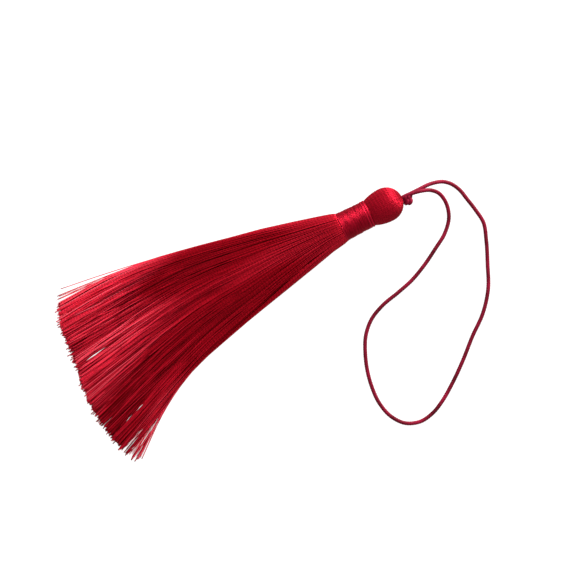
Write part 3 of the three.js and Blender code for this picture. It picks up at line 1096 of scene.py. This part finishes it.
def silk(name, tones, pitch, roughness, metal, edge, painted_end_shade=0.0):
    look = Finish(name)
    *turned, along = look.parts(look.read("round", "Vector"))
    thread = look.read("thread")
    twist = twist_lines(look, turned, along, pitch)
    slow = slow_changes(look, along, thread)
    spread = fading(look, along, LYING_APART, (0.08, 0.9))
    unlike = (thread - 0.5) * BY_THREAD + (slow - 0.5) * BY_PLACE
    # The twist term is painted glints on the crests and painted shade in the grooves.
    shade = MID_SHADE + spread * unlike + twist * TWIST_GLINT_AND_SHADE
    shade = shade + spread * thread.math("POWER", 5.0) * BRIGHT_THREADS
    # On the skirt, painted light lightens the tone and painted shade darkens it.
    if painted_end_shade:
        light = look.read("open")
        shade = shade + light * BY_PAINTED_LIGHT
    stops = list(zip(TONE_PLACES, tones))
    colour = look.node("ShaderNodeValToRGB", {"stops": stops}, {0: shade})
    if painted_end_shade:
        colour = painted_light_and_end_shade(look, colour, shade, light, spread, thread, painted_end_shade)
    bump = look.node("ShaderNodeBump", {}, {"Height": twist, "Distance": 0.00003, "Strength": 0.8})
    shader = look.node("ShaderNodeBsdfPrincipled", {}, {
        "Base Color": colour,
        "Roughness": roughness + slow * 0.14,
        "Metallic": metal,
        "Specular IOR Level": 0.5,
        "Specular Tint": edge,
        "Normal": bump,
    })
    return look.finish(shader)


# %% The skirt's silk and the head's
SKIRT_TONES = ((0.16, 0.0006, 0.003), (0.36, 0.002, 0.009), (0.65, 0.010, 0.03))
HEAD_TONES = ((0.19, 0.0005, 0.005), (0.31, 0.0015, 0.009), (0.46, 0.008, 0.03))
skirt_silk = silk(
    "skirt_silk", SKIRT_TONES, pitch=0.0011, roughness=0.28, metal=SILK_METAL, edge=SILK_EDGE,
    painted_end_shade=0.8,
)
head_silk = silk(
    "head_silk", HEAD_TONES, pitch=0.0012, roughness=0.37, metal=HEAD_METAL, edge=HEAD_EDGE,
)
for piece in (skirt_under, skirt_top, strays, neck):
    piece.data.materials.append(skirt_silk)
for piece in (head, bead):
    piece.data.materials.append(head_silk)

# %% [markdown]
# ### Binding thread and cord
#
# The winding has no tube facts of its own, so its finish reads the place in space: a noise that
# changes quickly along the axis and slowly round it gives each turn a tone of its own. The proud
# turns and the raised lower end get a lighter red, a painted highlight. The cord is a darker crimson
# with a soft, dull sheen, and fine noise makes it look fibrous.

# %% Binding thread
# The lighter red of the painted highlight on the proud turns and the lower end.
TURN_HIGHLIGHT_RED = (0.75, 0.015, 0.05, 1)
ALONG_AND_ROUND = (2600, 260, 260)
BINDING_STOPS = [
    # noise, and colour there
    (0.25, (0.17, 0.0005, 0.005)),
    (0.5, (0.29, 0.0015, 0.010)),
    (0.8, (0.44, 0.006, 0.025)),
]


def wound(name):
    look = Finish(name)
    place = look.node("ShaderNodeTexCoord", {}, {}, "Object")
    stretched = look.node("ShaderNodeVectorMath", {"operation": "MULTIPLY"}, {0: place, 1: ALONG_AND_ROUND})
    noise = look.node("ShaderNodeTexNoise", {}, {"Vector": stretched, "Scale": 1.0, "Detail": 2.0})
    colour = look.node("ShaderNodeValToRGB", {"stops": BINDING_STOPS}, {0: noise})
    # Painted highlight on the proud turns and the raised lower end.
    colour = look.mix(look.read("proud") * 0.8, colour, TURN_HIGHLIGHT_RED)
    bump = look.node("ShaderNodeBump", {}, {"Height": noise, "Distance": 0.00002, "Strength": 0.4})
    shader = look.node("ShaderNodeBsdfPrincipled", {}, {
        "Base Color": colour,
        "Roughness": 0.38 + noise * 0.12,
        "Metallic": HEAD_METAL,
        "Specular IOR Level": 0.5,
        "Specular Tint": HEAD_EDGE,
        "Normal": bump,
    })
    return look.finish(shader)


# %% Cord
CORD_STOPS = [
    # shade, and colour there
    (0.3, (0.05, 0.0003, 0.004)),
    (0.5, (0.14, 0.001, 0.012)),
    (0.75, (0.27, 0.004, 0.03)),
]


def braided(name):
    look = Finish(name)
    _, _, along = look.parts(look.read("round", "Vector"))
    place = look.node("ShaderNodeTexCoord", {}, {}, "Object")
    fine = look.node("ShaderNodeTexNoise", {}, {"Vector": place, "Scale": 3500.0, "Detail": 2.0})
    slow_sockets = {"W": along * 140, "Scale": 1.0, "Detail": 1.0}
    slow = look.node("ShaderNodeTexNoise", {"noise_dimensions": "1D"}, slow_sockets)
    shade = fine * 0.6 + slow * 0.5 - 0.05
    colour = look.node("ShaderNodeValToRGB", {"stops": CORD_STOPS}, {0: shade})
    bump = look.node("ShaderNodeBump", {}, {"Height": fine, "Distance": 0.00004, "Strength": 0.7})
    shader = look.node("ShaderNodeBsdfPrincipled", {}, {
        "Base Color": colour,
        "Roughness": 0.55 + fine * 0.15,
        "Specular IOR Level": 0.22,
        "Specular Tint": (1.0, 0.45, 0.5, 1),
        "Normal": bump,
    })
    return look.finish(shader)


winding.data.materials.append(wound("binding_thread"))
cord_finish = braided("loop_cord")
for piece in (loop, knot, knot_leads):
    piece.data.materials.append(cord_finish)

# %% [markdown]
# ## Table and light
#
# The table is plain white and lit so brightly that it has no shadow, so it glows by itself. It is
# hidden from the silk's own reflections, which would turn pink all over from so much white.
#
# The main lamp is fairly small and low, towards the picture's upper right. Its light strikes the
# head and the binding from the side and draws the narrow highlights on them. A larger lamp stands
# higher towards the picture's top edge, like a window, and a bright sky fills the shadows.

# %% Table
FLOOR_RADIUS = 3.0
FLOOR_GLOW = 0.97

bm = bmesh.new()
bmesh.ops.create_circle(bm, cap_ends=True, segments=96, radius=FLOOR_RADIUS)
floor_mesh = bpy.data.meshes.new("table")
bm.to_mesh(floor_mesh)
bm.free()
floor = bpy.data.objects.new("table", floor_mesh)
bpy.context.scene.collection.objects.link(floor)
floor.visible_diffuse = False
floor.visible_glossy = False
look = Finish("table_white")
plain = look.node("ShaderNodeBsdfDiffuse", {}, {"Color": (0.2, 0.2, 0.2, 1)})
glow = look.node("ShaderNodeEmission", {}, {"Color": (1, 1, 1, 1), "Strength": FLOOR_GLOW})
floor_mesh.materials.append(look.finish(look.node("ShaderNodeAddShader", {}, {0: plain, 1: glow})))

# %% Sky
SKY_STRENGTH = 0.6

scene = bpy.context.scene
scene.view_settings.view_transform = "Standard"
world = bpy.data.worlds.new("sky")
world.use_nodes = True
sky = next(node for node in world.node_tree.nodes if node.type == "BACKGROUND")
sky.inputs["Color"].default_value = (1, 1, 1, 1)
sky.inputs["Strength"].default_value = SKY_STRENGTH
scene.world = world

# %% Lamps
PICTURE_UP = Vector((math.sin(TASSEL_TILT), math.cos(TASSEL_TILT), 0))
PICTURE_RIGHT = Vector((math.cos(TASSEL_TILT), -math.sin(TASSEL_TILT), 0))


def lamp(name, turn, rise, distance, size, power):
    """A soft square lamp that faces the tassel, turned from the picture's right and raised, in degrees."""
    turn, rise = math.radians(turn), math.radians(rise)
    flat = math.cos(turn) * PICTURE_RIGHT + math.sin(turn) * PICTURE_UP
    place = VIEW_CENTRE + distance * (math.cos(rise) * flat + math.sin(rise) * Vector(UP))
    data = bpy.data.lights.new(name, "AREA")
    data.size = size
    data.energy = power
    light = bpy.data.objects.new(name, data)
    light.location = place
    light.rotation_euler = (VIEW_CENTRE - place).to_track_quat("-Z", "Y").to_euler()
    scene.collection.objects.link(light)
    print("lamp", name, "at", [round(value, 3) for value in place])


lamp("key", 60, 14, 0.9, 0.42, 20)
lamp("window", 100, 60, 1.0, 0.9, 5)

# %% Sizes, and the end
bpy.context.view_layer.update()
for piece in (loop, knot, knot_leads, bead, head, winding, neck, skirt_under, skirt_top, strays):
    print(piece.name, "lowest point", round(min(vert.co.z for vert in piece.data.vertices), 5))
